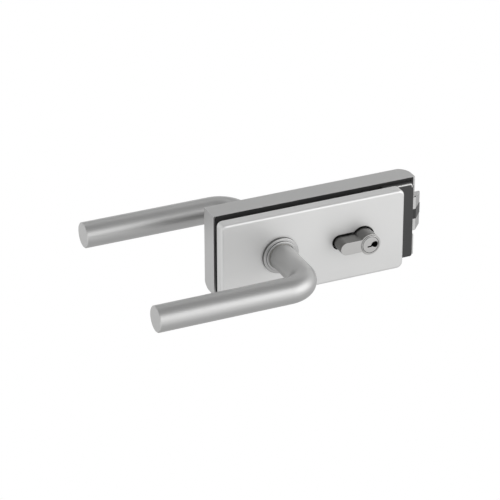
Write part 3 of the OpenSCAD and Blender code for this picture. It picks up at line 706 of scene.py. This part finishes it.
@dataclass(frozen=True)
class Studio:
    """The white set with its soft light.

    floor_show is how white the camera sees the floor, and floor_near with the fades is how white
    it looks in reflections.
    """

    floor_z: float = -0.16
    floor_size: float = 12.0
    floor_white: float = 0.8
    floor_roughness: float = 0.9
    floor_show: float = 1.0
    floor_near: float = 0.78
    floor_fades: tuple[FloorFade, ...] = (
        FloorFade("Y", start=-0.14, end=-0.50, gain=0.37),
        FloorFade("X", start=-0.17, end=-0.34, gain=0.42),
    )
    ambient: float = 0.48
    boxes: tuple[SoftBox, ...] = (
        SoftBox("key light", place=(1.55, -1.45, 0.62), aim=(0.0, 0.0, 0.0),
                width=2.7, height=1.9, level=1.36),
    )
    cards: tuple[Card, ...] = (
        Card("overhead card", place=(0.0, -0.22, 0.9), aim=(0.0, -0.22, 0.0),
             width=2.2, height=1.35, level=0.46),
        Card("rear card", place=(0.1, 1.3, 0.84), aim=(0.0, 0.0, 0.4),
             width=2.0, height=0.80, level=0.55),
    )

    def build(self) -> None:
        """Builds the floor, the surroundings, the lights and the cards."""
        self._floor()
        self._surroundings()
        for item in (*self.boxes, *self.cards):
            item.build()
            log.info("studio: %s", item.name)

    @staticmethod
    def _seen(tree: bpy.types.NodeTree) -> bpy.types.NodeSocket:
        """Picks out the rays that show the white set: camera, glossy and transmitted.

        Args:
            tree: the node tree.

        Returns:
            A mask of those rays.
        """
        path = tree.nodes.new("ShaderNodeLightPath")
        shown = math_node(tree, "MAXIMUM", path.outputs["Is Camera Ray"],
                          path.outputs["Is Glossy Ray"])
        return math_node(tree, "MAXIMUM", shown, path.outputs["Is Transmission Ray"])

    def _floor(self) -> None:
        """Lays the white floor, which keeps a soft shadow."""
        bm = bmesh.new()
        bmesh.ops.create_grid(bm, x_segments=1, y_segments=1, size=self.floor_size / 2)
        bmesh.ops.translate(bm, verts=bm.verts, vec=(0.0, 0.0, self.floor_z))
        floor = mesh_object("floor", bm)
        give(floor, self._floor_material())

    def _floor_material(self) -> bpy.types.Material:
        """Makes the floor's material, matt white under the lamps and evenly white to the eye.

        Returns:
            The material.
        """
        material = bpy.data.materials.new("floor")
        material.use_nodes = True
        tree = material.node_tree
        shader = tree.nodes["Principled BSDF"]
        shader.inputs["Base Color"].default_value = (self.floor_white,) * 3 + (1.0,)
        shader.inputs["Roughness"].default_value = self.floor_roughness
        shader.inputs["Specular IOR Level"].default_value = 0.0
        glow = tree.nodes.new("ShaderNodeEmission")
        tree.links.new(self._floor_level(tree), glow.inputs["Strength"])
        mix = tree.nodes.new("ShaderNodeMixShader")
        tree.links.new(self._seen(tree), mix.inputs["Fac"])
        tree.links.new(shader.outputs[0], mix.inputs[1])
        tree.links.new(glow.outputs[0], mix.inputs[2])
        tree.links.new(mix.outputs[0], tree.nodes["Material Output"].inputs["Surface"])
        return material

    def _floor_level(self, tree: bpy.types.NodeTree) -> bpy.types.NodeSocket:
        """Sets how white the floor looks, evenly to the camera and with fades in reflections.

        Args:
            tree: the floor material's node tree.

        Returns:
            The glow's strength.
        """
        path = tree.nodes.new("ShaderNodeLightPath")
        direct = math_node(tree, "MAXIMUM", path.outputs["Is Camera Ray"],
                           path.outputs["Is Transmission Ray"])
        place = tree.nodes.new("ShaderNodeTexCoord")
        split = tree.nodes.new("ShaderNodeSeparateXYZ")
        tree.links.new(place.outputs["Object"], split.inputs[0])
        shade = self.floor_near
        for fade in self.floor_fades:
            shade = math_node(tree, "ADD", fade.build(tree, split), shade)
        level = tree.nodes.new("ShaderNodeMix")
        level.inputs["B"].default_value = self.floor_show
        tree.links.new(direct, level.inputs["Factor"])
        tree.links.new(shade, level.inputs["A"])
        return level.outputs["Result"]

    def _surroundings(self) -> None:
        """Sets the white surroundings and the soft light that they give."""
        world = bpy.data.worlds.new("studio")
        world.use_nodes = True
        tree = world.node_tree
        tree.nodes.clear()
        shown = tree.nodes.new("ShaderNodeBackground")
        soft = tree.nodes.new("ShaderNodeBackground")
        for light, strength in ((shown, 1.0), (soft, self.ambient)):
            light.inputs["Color"].default_value = WHITE
            light.inputs["Strength"].default_value = strength
        mix = tree.nodes.new("ShaderNodeMixShader")
        tree.links.new(self._seen(tree), mix.inputs["Fac"])
        tree.links.new(soft.outputs[0], mix.inputs[1])
        tree.links.new(shown.outputs[0], mix.inputs[2])
        out = tree.nodes.new("ShaderNodeOutputWorld")
        tree.links.new(mix.outputs[0], out.inputs["Surface"])
        bpy.context.scene.world = world


DRESS: dict[Finish, tuple[str, ...]] = {
    SATIN_COVER: ("front_cover",),
    SATIN_CASING: ("rear_casing",),
    SATIN_LEVER: ("front_lever", "rear_lever", "front_rose", "rear_rose"),
    SHADED_NICKEL: ("cylinder_housing", "front_plug", "rear_plug"),
    BOLT_METAL: ("latch_head", "deadbolt"),
    ZINC_STEEL: (
        "counter_plate", "case_lid", "forend_plate", "clamp_screws", "cover_screws",
        "casing_screws", "lid_screws", "forend_screws", "cylinder_screw", "spindle", "follower",
        "front_lever_screw", "rear_lever_screw", "front_retaining_ring", "rear_retaining_ring",
        "latch_tail", "latch_rivets", "front_plug_ring", "cam", "rear_plug_ring"),
    SPRING_WIRE: ("pin_springs", "follower_spring", "latch_spring"),
    BRASS: ("driver_pins", "front_key_pins", "rear_key_pins"),
    BLACK_PAINT: ("lock_case", "nose_plate"),
    BLACK_PLASTIC: ("latch_insert", "latch_pin", "glass_sleeves"),
    RUBBER: ("front_seal", "rear_seal"),
    NYLON: ("front_bush", "rear_bush"),
}


@dataclass(frozen=True)
class Rose:
    """The stepped collar round a lever's neck, with rounded edges. Sizes are in millimetres."""

    node: str
    side: Side
    foot: float
    spigot: float
    flange_radius: float = 14.6
    step_radius: float = 12.4
    bore_radius: float = 10.25
    flange_height: float = 2.2
    step_height: float = 3.4
    spigot_rounding: float = 0.3
    flange_rounding: float = 0.7
    root_rounding: float = 0.15
    step_rounding: float = 0.6
    bore_rounding: float = 0.25
    steps: int = 128
    facing: float = 0.75

    def build(self, face_metal: bpy.types.Material,
              shaded_flank_metal: bpy.types.Material) -> bpy.types.Object:
        """Turns the rose.

        Args:
            face_metal: the metal of its faces.
            shaded_flank_metal: the darker metal of its turned flanks, which paints shade on them.

        Returns:
            The rose, standing for its solid.
        """
        bm = bmesh.new()
        section_loop(bm, (
            Corner(self.bore_radius, -self.spigot),
            Corner(self.step_radius, -self.spigot, self.spigot_rounding),
            Corner(self.step_radius, 0.0),
            Corner(self.flange_radius, 0.0),
            Corner(self.flange_radius, self.flange_height, self.flange_rounding),
            Corner(self.step_radius, self.flange_height, self.root_rounding),
            Corner(self.step_radius, self.step_height, self.step_rounding),
            Corner(self.bore_radius, self.step_height, self.bore_rounding),
        ), closed=True)
        turn_section(bm, self.steps)
        stand_at(bm, 0.0, self.foot * MM, self.side)
        # Faces that don't look across the door take the darker flank metal, painted shade on the
        # rose's sides.
        for turned in bm.faces:
            turned.material_index = int(abs(turned.normal.y) < self.facing)
        piece = mesh_object("turned_" + self.node, bm)
        shade_by_angle(piece, TURNED_SMOOTH)
        give(piece, face_metal, shaded_flank_metal)
        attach(piece, "lock_body")
        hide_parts(self.node)
        log.info("rose: %s", piece.name)
        return piece


@dataclass(frozen=True)
class KeyPlug:
    """A cylinder plug with its raised lip, turned groove and keyway. Sizes are in millimetres."""

    node: str
    body: str
    side: Side
    face: float
    inner: float
    axis_x: float = 69.2
    lip_radius: float = 7.4
    lip_height: float = 0.8
    lip_depth: float = 1.1
    lip_rounding: float = 0.3
    plug_radius: float = 6.5
    groove_outer: float = 6.8
    groove_inner: float = 6.4
    groove_depth: float = 0.9
    groove_slack: float = 0.01
    steps: int = 96
    mouth_centre: tuple[float, float] = (3.3, 0.1)
    mouth_taper: float = 0.97
    mouth_depth: float = 0.3
    keyway_depth: float = 7.0
    keyway: tuple[tuple[float, float], ...] = (
        (-2.6, -2.0), (0.3, -2.0), (0.9, -1.5), (1.8, -1.7), (2.6, -2.5), (3.9, -2.9),
        (5.1, -2.4), (5.9, -1.3), (6.2, 0.0), (5.9, 1.2), (5.0, 2.1), (3.7, 2.5), (2.3, 2.3),
        (1.2, 1.7), (0.6, 0.7), (0.2, -0.3), (-0.3, -0.7), (-2.6, -0.7))

    def build(self, metal: bpy.types.Material, shade: bpy.types.Material) -> bpy.types.Object:
        """Makes the plug.

        Args:
            metal: its metal.
            shade: the painted shade inside its keyway and its groove.

        Returns:
            The plug, standing for its solid.
        """
        bm = bmesh.new()
        depth = abs(self.inner - self.face)
        section_loop(bm, (
            Corner(self.groove_inner, self.lip_height),
            Corner(self.groove_inner, self.lip_height - self.groove_depth),
            Corner(self.groove_outer, self.lip_height - self.groove_depth),
            Corner(self.groove_outer, self.lip_height),
            Corner(self.lip_radius, self.lip_height, self.lip_rounding),
            Corner(self.lip_radius, -self.lip_depth),
            Corner(self.plug_radius, -self.lip_depth),
            Corner(self.plug_radius, -depth),
            Corner(0.0, -depth),
        ), closed=False)
        turn_section(bm, self.steps)
        self._shade_groove(bm)
        self._cut_keyway(bm)
        stand_at(bm, self.axis_x * MM, self.face * MM, self.side)
        piece = mesh_object("keyed_" + self.node, bm)
        shade_by_angle(piece, MACHINED_SMOOTH)
        give(piece, metal, shade)
        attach(piece, self.body)
        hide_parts(self.node)
        log.info("plug: %s", piece.name)
        return piece

    def _shade_groove(self, bm: bmesh.types.BMesh) -> None:
        """Paints shade on the faces of the turned groove.

        Args:
            bm: the plug's mesh, still without its front face.
        """
        limit = (self.groove_outer + self.groove_slack) * MM
        floor = (self.lip_height - self.groove_depth - self.groove_slack) * MM
        for face in bm.faces:
            if all(math.hypot(v.co.x, v.co.z) < limit and v.co.y > floor for v in face.verts):
                face.material_index = SHADE_SLOT

    def _cut_keyway(self, bm: bmesh.types.BMesh) -> None:
        """Closes the plug's face round the keyway, and sinks the keyway into it.

        Args:
            bm: the plug's mesh, open inside its groove.
        """
        rim = [e for e in bm.edges if e.is_boundary]
        points = [bm.verts.new((x * MM, self.lip_height * MM, z * MM)) for x, z in self.keyway]
        edge_loop = [bm.edges.new(pair) for pair in zip(points, points[1:] + points[:1])]
        bmesh.ops.triangle_fill(bm, use_beauty=True, use_dissolve=False, edges=rim + edge_loop,
                                normal=ACROSS_DOOR)
        mouth = Matrix.Translation((-self.mouth_centre[0] * MM, 0.0, -self.mouth_centre[1] * MM))
        for fall, taper in ((self.mouth_depth, self.mouth_taper), (self.keyway_depth, 1.0)):
            verts, edge_loop = draw_out(bm, edge_loop, (0.0, -fall * MM, 0.0))
            bmesh.ops.scale(bm, verts=verts, vec=(taper, 1.0, taper), space=mouth)
        walls = {f for v in verts for f in v.link_faces}
        floor = bmesh.ops.contextual_create(bm, geom=edge_loop)["faces"]
        # The keyway's walls and floor take painted shade.
        for face in (*walls, *floor):
            face.material_index = SHADE_SLOT


def merged_copy(node: str) -> bmesh.types.BMesh:
    """Copies a solid's mesh, its doubled vertices merged and its normals set again.

    Args:
        node: the solid's name.

    Returns:
        The copy.
    """
    bm = bmesh.new()
    bm.from_mesh(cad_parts[node].data)
    bm.transform(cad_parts[node].matrix_world)
    bmesh.ops.remove_doubles(bm, verts=bm.verts[:], dist=SOLID_MERGE)
    bmesh.ops.recalc_face_normals(bm, faces=bm.faces[:])
    return bm


def is_side(normal: Vector) -> bool:
    """Tells whether a face looks along the door or up or down, not across the door."""
    return abs(normal.y) <= END_FACE_MIN


def is_bevel(normal: Vector) -> bool:
    """Tells whether a face is cut aslant between the latch's front and its tip."""
    return min(abs(normal.x), abs(normal.y)) > BEVEL_MIN


@dataclass(frozen=True)
class LitAndShadedTones:
    """A solid whose faces take two tones by the way they face: a lit tone, and a darker tone that
    is painted shade.
    """

    node: str
    body: str
    # Picks the faces that take the darker metal, which paints shade on them.
    is_painted_shade: Callable[[Vector], bool]

    def build(self, bright: bpy.types.Material, shaded: bpy.types.Material) -> bpy.types.Object:
        """Makes the piece.

        Args:
            bright: the metal of its brighter faces.
            shaded: the darker metal of its other faces, which paints shade on them.

        Returns:
            The piece, standing for its solid.
        """
        bm = merged_copy(self.node)
        # The picked faces take the second, darker metal as painted shade.
        for face in bm.faces:
            face.material_index = int(self.is_painted_shade(face.normal))
        piece = mesh_object("machined_" + self.node, bm)
        shade_by_angle(piece, MACHINED_SMOOTH)
        give(piece, bright, shaded)
        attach(piece, self.body)
        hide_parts(self.node)
        log.info("two tones: %s", piece.name)
        return piece


@dataclass(frozen=True)
class RearSeal:
    """The seal under the casing's rim, cut short at both ends. Sizes are in millimetres."""

    node: str = "rear_seal"
    cut_back: float = 1.6

    def build(self, material: bpy.types.Material) -> bpy.types.Object:
        """Trims the seal.

        Args:
            material: its rubber.

        Returns:
            The seal, standing for its solid.
        """
        bm = merged_copy(self.node)
        across = [v.co.x for v in bm.verts]
        for edge_x, way in ((min(across), -1.0), (max(across), 1.0)):
            cut = bmesh.ops.bisect_plane(
                bm, geom=bm.verts[:] + bm.edges[:] + bm.faces[:], dist=NEW_MERGE,
                plane_co=(edge_x - way * self.cut_back * MM, 0.0, 0.0),
                plane_no=(way, 0.0, 0.0), clear_outer=True)["geom_cut"]
            rim = [g for g in cut if isinstance(g, bmesh.types.BMEdge)]
            bmesh.ops.holes_fill(bm, edges=rim, sides=0)
        bmesh.ops.recalc_face_normals(bm, faces=bm.faces[:])
        piece = mesh_object("trimmed_" + self.node, bm)
        shade_by_angle(piece, MACHINED_SMOOTH)
        give(piece, material)
        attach(piece, "lock_body")
        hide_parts(self.node)
        log.info("seal: %s", piece.name)
        return piece


@dataclass(frozen=True)
class NoseRim:
    """The light metal edge along the top of the black nose. Sizes are in millimetres."""

    left: float = 95.0
    right: float = 116.9
    top: float = 31.75
    front: float = -2.45
    section_radius: float = 0.8
    section_sides: int = 20
    bend: float = 2.8
    bend_steps: int = 10
    drop: float = 0.6

    def build(self, material: bpy.types.Material) -> bpy.types.Object:
        """Bends the rim from a rod.

        Args:
            material: its metal.

        Returns:
            The rim.
        """
        bm = bmesh.new()
        r = self.section_radius * MM
        start = Matrix.Translation((self.left * MM, self.front * MM + r, self.top * MM - r))
        ring = bmesh.ops.create_circle(bm, cap_ends=True, segments=self.section_sides, radius=r,
                                       matrix=start @ Matrix.Rotation(math.pi / 2, 4, "Y"))
        corner = (self.right - self.bend) * MM
        edges = list({e for v in ring["verts"] for e in v.link_edges})
        _, edges = draw_out(bm, edges, (corner - self.left * MM, 0.0, 0.0))
        swept = bmesh.ops.spin(bm, geom=edges + list({v for e in edges for v in e.verts}),
                               cent=(corner, 0.0, (self.top - self.bend) * MM),
                               axis=ACROSS_DOOR, dvec=(0.0, 0.0, 0.0), angle=math.pi / 2,
                               steps=self.bend_steps, use_merge=False,
                               use_duplicate=False)["geom_last"]
        edges = [g for g in swept if isinstance(g, bmesh.types.BMEdge)]
        _, edges = draw_out(bm, edges, (0.0, 0.0, -self.drop * MM))
        bmesh.ops.contextual_create(bm, geom=edges)
        bmesh.ops.remove_doubles(bm, verts=bm.verts[:], dist=NEW_MERGE)
        bmesh.ops.recalc_face_normals(bm, faces=bm.faces[:])
        piece = mesh_object("nose_rim", bm)
        shade_by_angle(piece, TURNED_SMOOTH)
        give(piece, material)
        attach(piece, "lock_body")
        log.info("trim: %s", piece.name)
        return piece


@dataclass
class Lockset:
    """The whole lockset, dressed."""

    effects: Effects = field(default_factory=Effects)
    materials: dict[str, bpy.types.Material] = field(default_factory=dict)
    roses: tuple[Rose, ...] = (
        Rose("front_rose", Side.FRONT, foot=-12.8, spigot=4.9),
        Rose("rear_rose", Side.REAR, foot=23.2, spigot=1.7),
    )
    plugs: tuple[KeyPlug, ...] = (
        KeyPlug("front_plug", "front_key", Side.FRONT, face=-25.7, inner=8.8),
        KeyPlug("rear_plug", "rear_key", Side.REAR, face=43.3, inner=17.8),
    )

    def material(self, finish: Finish) -> bpy.types.Material:
        """Gives the material of a finish, made on first use.

        Args:
            finish: the finish.

        Returns:
            Its material.
        """
        if finish.name not in self.materials:
            self.materials[finish.name] = finish.build(self.effects)
        return self.materials[finish.name]

    def dress_nodes(self) -> None:
        """Gives every solid its finish."""
        for finish, nodes in DRESS.items():
            for node in nodes:
                give(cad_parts[node], self.material(finish))
            log.info("%s: %s", finish.name, ", ".join(nodes))

    def build_pieces(self) -> None:
        """Makes the pieces that are finer than their solids."""
        for rose in self.roses:
            rose.build(self.material(SATIN_LEVER), self.material(ROSE_FLANK_SHADE))
        for plug in self.plugs:
            plug.build(self.material(MACHINED_FACE), self.material(KEYWAY_SHADE))
        LitAndShadedTones("cylinder_housing", "lock_body", is_side).build(
            self.material(MACHINED_FACE), self.material(SHADED_NICKEL))
        LitAndShadedTones("latch_head", "latch", is_bevel).build(
            self.material(BOLT_METAL), self.material(SHADED_BEVEL_METAL))
        RearSeal().build(self.material(RUBBER))
        NoseRim().build(self.material(TRIM_METAL))


def set_view() -> None:
    """Shows colours plainly."""
    bpy.context.scene.view_settings.view_transform = "Standard"


def main() -> None:
    """Builds the camera, the studio and the lockset."""
    set_view()
    Viewpoint().build()
    Studio().build()
    lockset = Lockset()
    lockset.dress_nodes()
    lockset.build_pieces()


if __name__ == "__main__":
    main()
